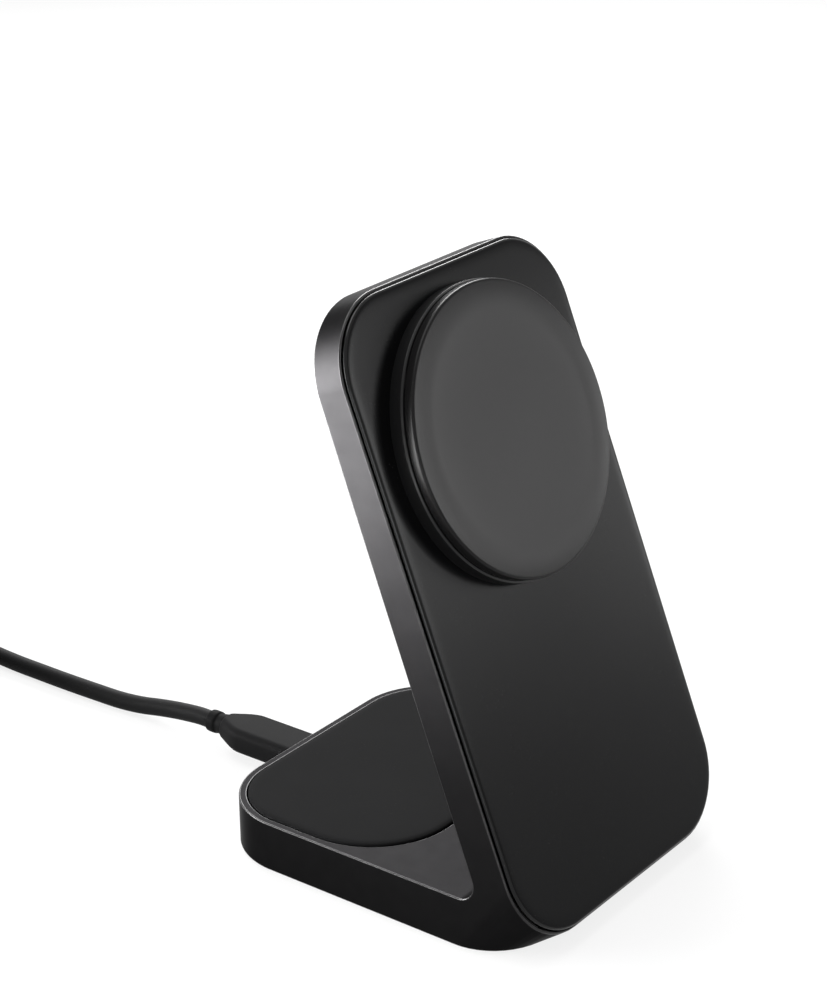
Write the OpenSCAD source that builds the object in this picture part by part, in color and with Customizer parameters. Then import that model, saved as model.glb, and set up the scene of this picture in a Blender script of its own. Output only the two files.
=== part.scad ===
/* [Folded frame] */
// Width of the folded metal frame
frame_w = 68.7; // [67:0.1:78]
// Length of the back, measured up its slope from the fold's outer corner line
back_len = 126.5; // [124:0.5:150]
// Lean of the back away from upright, in degrees
lean = 21.7; // [18:0.1:26]
// Thickness of the back at the fold
back_low_t = 7.9; // [7.4:0.1:10]
// Thickness of the back at its top edge
back_top_t = 6.3; // [6:0.1:7.4]
// Depth of the base, from the fold's outer corner line to the rear wall
base_len = 79; // [78:0.5:92]
// Thickness of the base
base_t = 10.25; // [10:0.05:13]
// Corner radius at the top of the back
top_r = 15.5; // [13:0.1:20]
// Corner radius at the rear of the base
rear_r = 16.5; // [14:0.1:20]
// Radius inside the fold, where the back meets the base
fold_r = 3.5; // [1:0.1:6]
// Distance up the slope at which the front rim begins
rim_start = 3; // [2:0.1:4]
// Radius of the front rim's lower corners
rim_r = 15; // [12:0.1:18]
// Distance behind the corner line at which the flat underside begins
sole_start = 5.85; // [5:0.05:7]
// Radius of the flat underside's front corners
sole_r = 12.6; // [10:0.1:15]

/* [Front panel] */
// Metal rim and gap left round the panel at its sides and top
panel_inset = 1.3; // [1:0.05:2]
// Distance up the slope at which the panel begins
panel_start = 3.8; // [3.7:0.05:5]
// Corner radius of the panel
panel_r = 13.9; // [11:0.1:16]
// Gap between the panel and the metal rim
panel_gap = 0.25; // [0.15:0.01:0.35]
// Height of the panel's face in front of the rim
panel_proud = 0.9; // [0.7:0.05:1.2]
// Thickness of the panel
panel_t = 1.6; // [1.2:0.05:2]
// Thickness of the adhesive gasket behind the panel
tape_t = 0.2; // [0.1:0.05:0.4]
// Width of the ledge that carries the panel
panel_ledge = 1.6; // [1:0.1:2.5]
// Depth of the hollow behind the panel, from the rim
hollow_depth = 4.2; // [3.8:0.1:4.4]

/* [Phone charger] */
// Distance up the slope to the centre of the charging disc
puck_s = 93.5; // [88:0.5:95]
// Diameter of the charging disc
disc_d = 56; // [50:0.5:58]
// Height of the disc's face in front of the rim
disc_face_h = 6.1; // [5.9:0.1:8]
// Height of the disc's visible side
disc_side_h = 2; // [1.6:0.1:2.4]
// Width of the flat ring round the disc's face
disc_ring_w = 4.5; // [3:0.1:6]
// Width of the slope from the ring down to the dish
dish_slope_w = 2.5; // [1:0.1:4]
// Depth of the dish in the disc's face
dish_depth = 0.6; // [0.3:0.05:0.8]
// Rounding of the disc's edge
disc_edge_r = 0.6; // [0.3:0.05:1]
// Height of the housing's wall above the panel
housing_h = 2.7; // [2.2:0.1:2.8]
// Wall thickness of the housing
housing_wall = 1.2; // [1:0.1:1.5]
// Thickness of the housing's floor
housing_floor = 0.8; // [0.6:0.1:1]
// Diameter of the housing's spigot, which passes through the panel
spigot_d = 30; // [29:0.5:36]
// Diameter of the lead's hole through the spigot
lead_hole_d = 12; // [10:0.5:13]
// Outer diameter of the magnet ring
magnet_ring_d = 51; // [48:0.1:51.2]
// Radial width of the magnet ring
magnet_ring_w = 2.8; // [2:0.1:3.5]
// Thickness of the magnets
magnet_t = 1.8; // [1:0.1:1.9]
// Number of magnets in the ring
magnet_count = 16; // [12:2:20]
// Outer diameter of the phone charger's coil
phone_coil_d = 43; // [38:0.5:44]

/* [Base pad] */
// Metal rim left beside the pad
pad_inset = 1.85; // [1.5:0.05:3]
// Distance behind the corner line at which the pad begins
pad_start = 34.2; // [30:0.1:38]
// Radius of the pad's front corners
pad_front_r = 17.8; // [12:0.1:19]
// Depth to which the pad is let into the base
pad_sink = 1; // [0.8:0.05:1.2]
// Height of the pad above the metal
pad_proud = 0.5; // [0.3:0.05:1]
// Gap between the pad and the metal
pad_gap = 0.2; // [0.1:0.05:0.4]
// Width of the pad's rounded edge
pad_edge_w = 1.5; // [1:0.1:2.5]
// Diameter of the round window above the charging coil
window_d = 40; // [39:0.5:41]
// Outer diameter of the base pad's coil
pad_coil_d = 36.4; // [30:0.2:37]

/* [Base inside] */
// Wall between the base's side and its hollow
base_wall = 3.4; // [3:0.1:4]
// Metal left above the hollow, under the pad
roof_t = 1; // [0.8:0.05:1.2]
// Distance behind the corner line at which the hollow begins
hollow_start = 12; // [11.5:0.1:13]
// Thickness of the bottom cover
cover_t = 1.4; // [1.2:0.05:1.5]
// Metal left round the bottom cover
cover_inset = 1.9; // [1.6:0.1:2.5]
// Metal left in front of the bottom cover
cover_front_inset = 2.6; // [2:0.1:4]
// Gap between the bottom cover and the metal
cover_gap = 0.15; // [0.1:0.05:0.3]
// Height of the rubber foot below the metal
foot_h = 0.5; // [0.3:0.05:0.9]
// Depth to which the rubber foot is let into the cover
foot_sink = 0.3; // [0.2:0.05:0.4]
// Cover left round the rubber foot
foot_inset = 2.4; // [2:0.1:4]
// Thickness of the ballast plate
ballast_t = 3; // [2:0.1:3.2]
// Thickness of the main circuit board
board_t = 0.8; // [0.6:0.1:1]

/* [Port and plug] */
// Height of the port's centre above the metal's underside
port_z = 4.2; // [4.1:0.1:4.6]
// Width of the connector's shell
shell_w = 8.25; // [8:0.05:8.6]
// Height of the connector's shell
shell_h = 2.4; // [2.3:0.05:2.6]
// Length of the connector's shell
shell_len = 6.65; // [6:0.05:7]
// Wall thickness of the connector's shell
shell_wall = 0.3; // [0.2:0.05:0.35]
// Width of the plug's moulded body
plug_w = 10.2; // [9.4:0.1:12]
// Height of the plug's moulded body
plug_h = 5.6; // [4.8:0.1:6]
// Length of the plug's moulded body
plug_len = 24; // [16:0.5:30]
// Length of the strain relief behind the plug
relief_len = 4.6; // [4:0.1:8]

/* [Hidden] */
$fn = 64;

// Side view of the frame: s runs up the slope of the back, d goes into it
function slope_pt(s, d) = [s * sin(lean) + d * cos(lean), s * cos(lean) - d * sin(lean)];
back_taper = (back_low_t - back_top_t) / back_len;
fold_s = (base_t + back_low_t * sin(lean)) / (cos(lean) + back_taper * sin(lean));
fold_pt = slope_pt(fold_s, back_low_t - back_taper * fold_s);
fold_angle = 90 - lean + atan(back_taper);
fold_centre = fold_pt + fold_r / sin(fold_angle / 2) * [cos(fold_angle / 2), sin(fold_angle / 2)];
fold_steps = 10;
spare = 2;
eps = 0.05;
split_s = rim_start + rim_r;
split_y = sole_start + sole_r;
wedge_h = 12.2;
seam = 3;

// Panel outline and the hollow behind it
panel_w = frame_w - 2 * panel_inset;
panel_end = back_len - panel_inset;
panel_back = panel_proud - panel_t;
panel_edge = [
    [0, panel_back], [0, panel_proud - 0.4], [0.2, panel_proud - 0.25],
    [0.8, panel_proud - 0.08], [1.5, panel_proud]
];
ledge_d = tape_t - panel_back;
hollow_w = panel_w - 2 * panel_ledge;
hollow_r = panel_r - panel_ledge;

// The part stands on its rubber foot, with the middle of its depth at the origin
front_y = min([for (p = panel_edge) (panel_start + p[0]) * sin(lean) - p[1] * cos(lean)]);
mid_y = (front_y + base_len) / 2;

// Heights in the base
pocket_z = base_t - pad_sink;
roof_z = pocket_z - roof_t;
pad_w = frame_w - 2 * pad_inset;
pad_end = base_len - pad_inset;
pad_rear_r = rear_r - pad_inset;
pad_centre_y = (pad_start + pad_end) / 2;
hollow_end = base_len - base_wall;
inner_w = frame_w - 2 * base_wall;
inner_front_r = 6;
cover_w = frame_w - 2 * cover_inset - 2 * cover_gap;
cover_start = sole_start + cover_front_inset + cover_gap;
cover_end = base_len - cover_inset - cover_gap;
cover_front_r = sole_r - cover_inset - cover_gap;
cover_rear_r = rear_r - cover_inset - cover_gap;

// Screws
screw_d = 2;
head_d = 3.8;
head_h = 0.9;
thread_gap = 0.05;
head_gap = 0.15;
boss_d = 5.2;
drive_d = 1.6;
drive_depth = 0.5;
puck_screw_r = 11;
puck_screw_len = 4.4;
inner_screw_len = 3.8;
cover_screw_len = 4.5;
cover_head_h = 0.6;
seat_gap = 0.05;

// Port, board and ballast
socket_wall = 0.3;
socket_gap = 0.08;
socket_w = shell_w + 2 * socket_gap + 2 * socket_wall;
socket_h = shell_h + 2 * socket_gap + 2 * socket_wall;
socket_len = 7.35;
socket_set_back = 0.8;
port_gap = 0.2;
tongue_w = 6.7;
tongue_h = 0.7;
tongue_gap = 0.8;
socket_end = base_len - socket_set_back;
socket_start = socket_end - socket_len;
board_top = port_z - 0.8;
board_w = inner_w - 3.2;
board_start = hollow_end - 18.2;
board_end = hollow_end - 0.4;
board_screw_x = board_w / 2 - 3.2;
board_screw_ys = [board_start + 3.2, board_end - 3.2];
ballast_start = hollow_start + 8;
ballast_end = board_start - 6;
ballast_w = inner_w - 2;
ballast_z = cover_t + 0.2;
ballast_screw_x = ballast_w / 2 - 6;
ballast_screw_y = (ballast_start + ballast_end) / 2;
screw_seat_z = board_top - board_t;
cover_screw_x_front = inner_w / 2 - 6.5;
cover_screw_x_rear = inner_w / 2 - 3;
cover_screw_spots = [
    [cover_screw_x_front, hollow_start + 4], [-cover_screw_x_front, hollow_start + 4],
    [cover_screw_x_rear, board_start - 3.2], [-cover_screw_x_rear, board_start - 3.2]
];
inner_screw_spots = concat(
    [for (y = board_screw_ys, side = [-1, 1]) [side * board_screw_x, y, board_top]],
    [for (side = [-1, 1]) [side * ballast_screw_x, ballast_screw_y, ballast_z + ballast_t]]
);

// Channel and flat lead between the two chargers
channel_w = 14;
channel_z = [4.5, 7.5];
channel_start = 5;
lead_w = 8;
lead_t = 0.3;
lead_d = hollow_depth - 0.6;
lead_z = 5.8;

// Coil tray under the base pad's window
tray_gap = 0.2;
tray_d = window_d - 2 * tray_gap;
tray_wall = 0.8;
tray_top_t = 0.6;
tray_flange_d = window_d + 6;
tray_flange_t = 0.8;
pad_coil_t = 0.9;
ferrite_t = 0.6;
layer_gap = 0.05;

// Disc assembly
housing_top = panel_proud + housing_h;
housing_in_r = disc_d / 2 + 0.1 - housing_wall;
spigot_gap = 0.2;
skirt_gap = 0.2;
skirt_t = 0.9;
skirt_r = housing_in_r - skirt_gap;
skirt_low = panel_proud + housing_floor + 0.3;
disc_r = disc_d / 2;
disc_low = disc_face_h - disc_side_h;
dish_r = disc_r - disc_ring_w;
dish_z = disc_face_h - dish_depth;
dish_under = dish_z - 0.9;
puck_board_d = 44;
board_low = panel_proud + housing_floor + layer_gap;
ferrite_low = board_low + board_t + 0.2;
phone_coil_t = 1;
spigot_low = panel_proud - panel_t - 0.1;

// Plug, cord and coil
plug_round = 5;
plug_drop = 0.9;
relief_d = 4.6;
bead_d = 4.7;
neck_d = 4.1;
cord_d = 3.8;
cord_r = cord_d / 2;
cord_exit_y = base_len + plug_len + relief_len - mid_y;
// Points of the cord: across, behind the strain relief, and above the table
cord_points = [
    [0, 3, 4.7], [0, 7, 4.3], [-0.1, 11, 3.8], [-0.3, 15, 3.2], [-0.5, 19, 2.5],
    [-0.8, 23, 2.1], [-1, 27, 1.9], [-1.2, 32, 1.9], [-1.4, 38, 1.9], [-1.5, 44, 1.9],
    [-1.5, 50, 1.9], [-1.5, 56, 1.9], [-1.5, 62, 2.1], [-1.5, 67, 2.4]
];
coil_x = -27.3;
coil_y = cord_exit_y + 85.5;
coil_rs = [18.2, 22, 25.8];
coil_layers = 3;
strap_t = 0.6;
strap_w = 9;
strap_angle = 170;
coil_in_r = coil_rs[0] - cord_r;
coil_out_r = coil_rs[2] + cord_r;
coil_low = strap_t;
coil_top = coil_low + coil_layers * cord_d;
tail_r = 16;
tail_turn = 64;
tail_centre = [coil_x, coil_y] - (coil_rs[1] - tail_r) * [cos(tail_turn), sin(tail_turn)];
tail_foot = tail_centre + tail_r * [cos(tail_turn), sin(tail_turn)];
tail_lead = 40;
far_z = coil_top + plug_h / 2;
tail_z = coil_top + cord_r;

// Stands the part on its rubber foot, with the middle of its depth at y = 0
module placed() {
    translate([0, -mid_y, foot_h])
        children();
}

// Plane of the front rim: x across, y up the slope, z out of the front
module on_back() {
    rotate([90 - lean, 0, 0])
        children();
}

// Side view polygon of [y, z] points, extruded across the width
module across(w, points) {
    translate([-w / 2, 0, 0])
        rotate([90, 0, 90])
            linear_extrude(w)
                polygon(points);
}

// Plate with rounded corners: its edge follows a profile of [inset, height] points
module edged_plate(w, y0, y1, r0, r1, edge) {
    low = edge[0][1];
    high = edge[len(edge) - 1][1];
    mid = (y0 + y1) / 2;
    last = len(edge) - 1;
    for (end = [[y0 + r0, r0, 180], [y1 - r1, r1, 0]], turn = [0, 1])
        if (end[1] > 0)
            translate([(turn == end[2] / 180 ? 1 : -1) * (w / 2 - end[1]), end[0], 0])
                rotate([0, 0, end[2] + 90 * turn])
                    rotate_extrude(angle = 90)
                        polygon(concat(
                            [[0, low]], [for (p = edge) [end[1] - p[0], p[1]]], [[0, high]]
                        ));
    translate([0, y1 - r1, 0])
        rotate([90, 0, 0])
            linear_extrude(y1 - r1 - y0 - r0)
                polygon(concat(
                    [for (p = edge) [w / 2 - p[0], p[1]]],
                    [for (i = [last : -1 : 0]) [edge[i][0] - w / 2, edge[i][1]]]
                ));
    across(w - 2 * r0, concat([for (p = edge) [y0 + p[0], p[1]]], [[mid, high], [mid, low]]));
    across(w - 2 * r1, concat([for (p = edge) [y1 - p[0], p[1]]], [[mid, high], [mid, low]]));
}

// Flat plate with rounded corners
module plate(w, y0, y1, r0, r1, z0, z1) {
    edged_plate(w, y0, y1, r0, r1, [[0, z0], [0, z1]]);
}

// Bar along +Y with round sides, as wide as w and as high as h
module round_bar(w, h, y0, y1) {
    for (side = [-1, 1])
        translate([side * (w - h) / 2, y1, 0])
            rotate([90, 0, 0])
                cylinder(h = y1 - y0, d = h);
    translate([(h - w) / 2, y0, -h / 2])
        cube([w - h, y1 - y0, h]);
}

// Screw that stands on its head: the head's seat is at z = 0 and the shank goes up
module screw(shank, head) {
    difference() {
        union() {
            translate([0, 0, -head])
                cylinder(h = head, d = head_d);
            translate([0, 0, -head / 2])
                cylinder(h = shank + head / 2, d = screw_d);
        }
        translate([0, 0, -head - 1])
            cylinder(h = 1 + drive_depth, d = drive_d, $fn = 6);
    }
}

// The two arms in side view, longer than the frame at their ends
module folded_profile() {
    rear = back_low_t - back_taper * (back_len + spare);
    arc_from = fold_angle + 90;
    across(frame_w, concat(
        [[0, 0], slope_pt(back_len + spare, 0), slope_pt(back_len + spare, rear)],
        [for (i = [0 : fold_steps])
            let (a = arc_from + (270 - arc_from) * i / fold_steps)
                fold_centre + fold_r * [cos(a), sin(a)]],
        [[base_len + spare, base_t], [base_len + spare, 0]]
    ));
}

// Lower front of the frame: it swells from the small sole to the rim's round corners
module lower_front() {
    w = frame_w + eps;
    hull() {
        for (side = [-1, 1]) {
            on_back()
                translate([side * (w / 2 - rim_r), split_s, 0])
                    cylinder(h = eps, r = rim_r, $fn = 48);
            translate([side * (w / 2 - sole_r), split_y, -eps])
                cylinder(h = eps, r = sole_r, $fn = 48);
        }
        on_back()
            translate([-w / 2, split_s, -wedge_h])
                cube([w, seam, wedge_h + eps]);
        translate([-w / 2, split_y, -eps])
            cube([w, seam, wedge_h + eps]);
    }
}

module frame_body() {
    w = frame_w + eps;
    intersection() {
        folded_profile();
        lower_front();
    }
    intersection() {
        folded_profile();
        on_back()
            plate(w, split_s + seam / 2, back_len, 0, top_r, -wedge_h, 1);
    }
    intersection() {
        folded_profile();
        plate(w, split_y + seam / 2, base_len, 0, rear_r, -1, wedge_h);
    }
}

// Hollow behind the panel, and the shallow seat that the panel sits in
module front_hollow() {
    on_back() {
        plate(panel_w + 2 * panel_gap, panel_start - panel_gap, panel_end + panel_gap,
            panel_r + panel_gap, panel_r + panel_gap, -ledge_d, 1);
        plate(hollow_w, panel_start + panel_ledge, panel_end - panel_ledge,
            hollow_r, hollow_r, -hollow_depth, 1);
    }
}

// Hollow in the base, the cover's seat, the pad's seat and the window between them
module base_hollow() {
    plate(inner_w, hollow_start, hollow_end, inner_front_r, rear_r - base_wall, -1, roof_z);
    plate(cover_w + 2 * cover_gap, cover_start - cover_gap, cover_end + cover_gap,
        cover_front_r + cover_gap, cover_rear_r + cover_gap, -1, cover_t);
    plate(pad_w + 2 * pad_gap, pad_start - pad_gap, pad_end + pad_gap,
        pad_front_r + pad_gap, pad_rear_r + pad_gap, pocket_z, base_t + 1);
    translate([0, pad_centre_y, roof_z - 1])
        cylinder(h = roof_t + 2, d = window_d);
}

// Way for the flat lead through the metal at the fold
module lead_channel() {
    translate([-channel_w / 2, channel_start, channel_z[0]])
        cube([channel_w, hollow_start + 1 - channel_start, channel_z[1] - channel_z[0]]);
}

module port_opening() {
    translate([0, 0, port_z])
        round_bar(socket_w + 2 * port_gap, socket_h + 2 * port_gap, hollow_end - 1, base_len + 1);
}

// Places of the three screws that hold the charger's housing
module puck_screw_spots() {
    for (i = [0 : 2])
        translate([0, puck_s, 0])
            rotate([0, 0, 90 + 120 * i])
                translate([puck_screw_r, 0, 0])
                    children();
}

module frame_bosses() {
    on_back()
        puck_screw_spots()
            translate([0, 0, -hollow_depth - 0.4])
                cylinder(h = hollow_depth + 0.4 + spigot_low, d = boss_d);
    for (p = inner_screw_spots)
        translate(p)
            cylinder(h = roof_z + 0.4 - p[2], d = boss_d);
    for (p = cover_screw_spots)
        translate([p[0], p[1], cover_t])
            cylinder(h = roof_z + 0.4 - cover_t, d = boss_d);
}

module frame_screw_holes() {
    hole_d = screw_d + 2 * thread_gap;
    on_back()
        puck_screw_spots()
            translate([0, 0, panel_proud - head_h - puck_screw_len - 0.3])
                cylinder(h = puck_screw_len, d = hole_d);
    for (p = inner_screw_spots)
        translate([p[0], p[1], screw_seat_z])
            cylinder(h = inner_screw_len + 0.3, d = hole_d);
    for (p = cover_screw_spots)
        translate([p[0], p[1], cover_t - 1])
            cylinder(h = cover_screw_len + 0.8, d = hole_d);
}

module frame() {
    color("dimgray") placed()
        difference() {
            union() {
                difference() {
                    frame_body();
                    front_hollow();
                    base_hollow();
                    lead_channel();
                    port_opening();
                }
                frame_bosses();
            }
            frame_screw_holes();
        }
}

// Adhesive gasket on the ledge behind the panel
module panel_gasket() {
    color("black") placed() on_back()
        difference() {
            plate(panel_w - 0.2, panel_start + 0.1, panel_end - 0.1,
                panel_r - 0.1, panel_r - 0.1, panel_back - tape_t, panel_back);
            plate(hollow_w, panel_start + panel_ledge, panel_end - panel_ledge,
                hollow_r, hollow_r, panel_back - tape_t - 1, panel_back + 1);
        }
}

// Glossy panel with softened edges and the hole for the housing's spigot
module front_panel() {
    color("dimgray") placed() on_back()
        difference() {
            edged_plate(panel_w, panel_start, panel_end, panel_r, panel_r, panel_edge);
            translate([0, puck_s, panel_back - 1])
                cylinder(h = panel_t + 2, d = spigot_d + 2 * spigot_gap);
        }
}

// Moulded cup of the phone charger, with a spigot down to the frame's bosses
module puck_housing() {
    out_r = housing_in_r + housing_wall;
    lip = 0.3;
    floor_top = panel_proud + housing_floor;
    seat = panel_proud - head_h + 0.1;
    color("dimgray") placed() on_back()
        difference() {
            translate([0, puck_s, 0])
                rotate_extrude($fn = 128)
                    polygon([
                        [lead_hole_d / 2, spigot_low], [spigot_d / 2, spigot_low],
                        [spigot_d / 2, panel_proud], [out_r, panel_proud],
                        [out_r, housing_top - lip], [out_r - lip, housing_top],
                        [housing_in_r, housing_top], [housing_in_r, floor_top],
                        [lead_hole_d / 2, floor_top]
                    ]);
            puck_screw_spots() {
                translate([0, 0, spigot_low - 1])
                    cylinder(h = 4, d = screw_d + 2 * head_gap);
                translate([0, 0, seat])
                    cylinder(h = 4, d = head_d + 2 * head_gap);
            }
        }
}

module puck_screws() {
    color("silver") placed() on_back()
        puck_screw_spots()
            translate([0, 0, panel_proud - head_h + 0.1])
                mirror([0, 0, 1])
                    screw(puck_screw_len, head_h);
}

// Charging disc: a round cap with a flat ring, a shallow dish and a skirt
module disc_face() {
    color("dimgray") placed() on_back()
        translate([0, puck_s, 0])
            rotate_extrude($fn = 128)
                polygon(concat(
                    [
                        [0, dish_under], [skirt_r - skirt_t, dish_under],
                        [skirt_r - skirt_t, skirt_low], [skirt_r, skirt_low],
                        [skirt_r, disc_low], [disc_r, disc_low]
                    ],
                    [for (a = [0 : 15 : 90])
                        [disc_r - disc_edge_r, disc_face_h - disc_edge_r]
                            + disc_edge_r * [cos(a), sin(a)]],
                    [
                        [dish_r, disc_face_h], [dish_r - dish_slope_w, dish_z], [0, dish_z]
                    ]
                ));
}

// Ring of flat magnets under the disc's face
module magnet_ring() {
    step = 360 / magnet_count;
    color("silver") placed() on_back()
        for (i = [0 : magnet_count - 1])
            translate([0, puck_s, dish_under - magnet_t - layer_gap])
                rotate([0, 0, step * i])
                    rotate_extrude(angle = step - 2)
                        translate([magnet_ring_d / 2 - magnet_ring_w, 0])
                            square([magnet_ring_w, magnet_t]);
}

// Wound flat coil
module flat_coil(d, hole, t) {
    difference() {
        cylinder(h = t, d = d);
        translate([0, 0, -1])
            cylinder(h = t + 2, d = hole);
    }
}

module phone_coil() {
    color("peru") placed() on_back()
        translate([0, puck_s, ferrite_low + ferrite_t + layer_gap])
            flat_coil(phone_coil_d, phone_coil_d / 2, phone_coil_t);
}

module phone_ferrite() {
    color("darkslategray") placed() on_back()
        translate([0, puck_s, ferrite_low])
            cylinder(h = ferrite_t, d = phone_coil_d + 1);
}

module puck_board() {
    color("darkgreen") placed() on_back()
        translate([0, puck_s, board_low])
            cylinder(h = board_t, d = puck_board_d);
}

// Flat lead from the phone charger down behind the panel and into the base
module lead_ribbon() {
    route = [
        slope_pt(puck_s, -board_low + layer_gap), slope_pt(puck_s, lead_d - 0.8),
        slope_pt(puck_s - 0.8, lead_d), slope_pt(9, lead_d), slope_pt(7.8, lead_d + 0.3),
        [10.5, lead_z], [board_start - 2, lead_z], [board_start + 1, lead_z - 1.2],
        [board_start + 2.4, lead_z - 1.4]
    ];
    color("black") placed()
        across(lead_w, ribbon_outline(route, lead_t / 2));
}

function unit(v) = v / norm(v);
function side_of(route, i) =
    let (a = route[max(i - 1, 0)], b = route[min(i + 1, len(route) - 1)], t = unit(b - a))
        [-t[1], t[0]];
function ribbon_outline(route, half) = concat(
    [for (i = [0 : len(route) - 1]) route[i] + half * side_of(route, i)],
    [for (i = [len(route) - 1 : -1 : 0]) route[i] - half * side_of(route, i)]
);

// Soft pad let into the top of the base
module base_pad() {
    top = base_t + pad_proud;
    color("gray") placed()
        edged_plate(pad_w, pad_start, pad_end, pad_front_r, pad_rear_r, [
            [0, pocket_z], [0, top - 0.35], [pad_edge_w / 5, top - 0.18],
            [pad_edge_w / 2, top - 0.06], [pad_edge_w, top]
        ]);
}

// Tray that carries the base pad's coil in the window
module coil_tray() {
    color("dimgray") placed()
        translate([0, pad_centre_y, 0])
            rotate_extrude()
                polygon([
                    [0, pocket_z], [tray_d / 2, pocket_z], [tray_d / 2, roof_z],
                    [tray_flange_d / 2, roof_z], [tray_flange_d / 2, roof_z - tray_flange_t],
                    [tray_d / 2 - tray_wall, roof_z - tray_flange_t],
                    [tray_d / 2 - tray_wall, pocket_z - tray_top_t], [0, pocket_z - tray_top_t]
                ]);
}

pad_coil_z = pocket_z - tray_top_t - layer_gap - pad_coil_t;

module pad_coil() {
    color("peru") placed()
        translate([0, pad_centre_y, pad_coil_z])
            flat_coil(pad_coil_d, pad_coil_d / 2, pad_coil_t);
}

module pad_ferrite() {
    color("darkslategray") placed()
        translate([0, pad_centre_y, pad_coil_z - layer_gap - ferrite_t])
            cylinder(h = ferrite_t, d = pad_coil_d + 0.6);
}

// Main circuit board with its larger parts
module main_board() {
    notch_w = socket_w + 2 * port_gap;
    parts = [[-19, 9, 7, 7, 2.6], [-10, 4, 5, 5, 1], [12, 8, 6, 6, 2.2], [20, 4, 4, 3, 1.6]];
    color("darkgreen") placed()
        difference() {
            union() {
                translate([-board_w / 2, board_start, screw_seat_z])
                    cube([board_w, board_end - board_start, board_t]);
                for (p = parts)
                    translate([p[0] - p[2] / 2, board_start + p[1] - p[3] / 2, board_top - 0.1])
                        cube([p[2], p[3], p[4] + 0.1]);
                translate([-lead_w / 2 - 1, board_start + 2.4, board_top - 0.1])
                    cube([lead_w + 2, 3, 1.7]);
            }
            translate([-notch_w / 2, socket_start - port_gap, screw_seat_z - 1])
                cube([notch_w, base_len, board_t + 2]);
            for (y = board_screw_ys, side = [-1, 1])
                translate([side * board_screw_x, y, screw_seat_z - 1])
                    cylinder(h = board_t + 2, d = screw_d + 2 * head_gap);
        }
}

// Metal shell of the port, open towards the rear
module usb_socket() {
    color("silver") placed()
        translate([0, 0, port_z])
            difference() {
                round_bar(socket_w, socket_h, socket_start, socket_end);
                round_bar(socket_w - 2 * socket_wall, socket_h - 2 * socket_wall,
                    socket_start + 0.4, socket_end + 1);
            }
}

module socket_tongue() {
    color("black") placed()
        translate([-tongue_w / 2, socket_start + 0.4, port_z - tongue_h / 2])
            cube([tongue_w, socket_len - 0.4 - tongue_gap, tongue_h]);
}

// Steel plate that gives the base its weight
module ballast_plate() {
    color("silver") placed()
        difference() {
            plate(ballast_w, ballast_start, ballast_end, 4, 4, ballast_z, ballast_z + ballast_t);
            for (side = [-1, 1])
                translate([side * ballast_screw_x, ballast_screw_y, 0]) {
                    cylinder(h = base_t, d = screw_d + 2 * head_gap);
                    cylinder(h = screw_seat_z, d = head_d + 2 * head_gap);
                }
        }
}

module inner_screws() {
    color("silver") placed()
        for (p = inner_screw_spots)
            translate([p[0], p[1], screw_seat_z])
                screw(inner_screw_len, head_h);
}

module bottom_cover() {
    color("dimgray") placed()
        difference() {
            plate(cover_w, cover_start, cover_end, cover_front_r, cover_rear_r, 0, cover_t);
            plate(cover_w - 2 * foot_inset + 2 * cover_gap,
                cover_start + foot_inset - cover_gap, cover_end - foot_inset + cover_gap,
                cover_front_r - foot_inset + cover_gap, cover_rear_r - foot_inset + cover_gap,
                -1, foot_sink);
            for (p = cover_screw_spots)
                translate([p[0], p[1], -1]) {
                    cylinder(h = cover_t + 2, d = screw_d + 2 * head_gap);
                    cylinder(h = 1 + foot_sink + seat_gap + cover_head_h, d = head_d + 2 * head_gap);
                }
        }
}

module cover_screws() {
    color("silver") placed()
        for (p = cover_screw_spots)
            translate([p[0], p[1], foot_sink + seat_gap + cover_head_h])
                screw(cover_screw_len, cover_head_h);
}

// Rubber foot that the stand rests on
module foot_pad() {
    color("black") placed()
        plate(cover_w - 2 * foot_inset, cover_start + foot_inset, cover_end - foot_inset,
            cover_front_r - foot_inset, cover_rear_r - foot_inset, -foot_h, foot_sink);
}

// Plug pieces: the mouth of the body is at y = 0 and the cord leaves towards +Y
module plug_shell_shape() {
    difference() {
        round_bar(shell_w, shell_h, -shell_len, 0);
        round_bar(shell_w - 2 * shell_wall, shell_h - 2 * shell_wall, -shell_len - 1, -0.6);
    }
}

module plug_body_shape() {
    half = plug_h / 2;
    edge = concat(
        [[0, half - 0.15], [0.4, half], [plug_len - plug_round, half]],
        [for (a = [15 : 15 : 75])
            [plug_len - plug_round * (1 - sin(a)), half - plug_drop * (1 - cos(a))]],
        [[plug_len, half - plug_drop]]
    );
    for (side = [-1, 1])
        translate([side * (plug_w / 2 - half), 0, 0])
            rotate([-90, 0, 0])
                rotate_extrude()
                    polygon(concat([[0, 0]], [for (p = edge) [p[1], p[0]]], [[0, plug_len]]));
    across(plug_w - plug_h, concat(
        edge, [for (i = [len(edge) - 1 : -1 : 0]) [edge[i][0], -edge[i][1]]]
    ));
}

module plug_relief_shape() {
    rotate([-90, 0, 0])
        rotate_extrude()
            polygon([
                [0, plug_len], [relief_d / 2, plug_len], [neck_d / 2, plug_len + 2.2],
                [bead_d / 2, plug_len + 2.5], [bead_d / 2, plug_len + relief_len - 0.4],
                [bead_d / 2 - 0.4, plug_len + relief_len], [0, plug_len + relief_len]
            ]);
}

module near_plug() {
    placed()
        translate([0, base_len, port_z])
            children();
}

module far_plug() {
    travel = [-sin(tail_turn), cos(tail_turn)];
    at = tail_foot + (plug_len + relief_len) * travel;
    translate([at[0], at[1], far_z])
        rotate([0, 0, tail_turn + 180])
            children();
}

module plug_shell() {
    color("silver") near_plug() plug_shell_shape();
}

module plug_body() {
    color("dimgray") near_plug() plug_body_shape();
}

module plug_relief() {
    color("dimgray") near_plug() plug_relief_shape();
}

module far_plug_shell() {
    color("silver") far_plug() plug_shell_shape();
}

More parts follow.
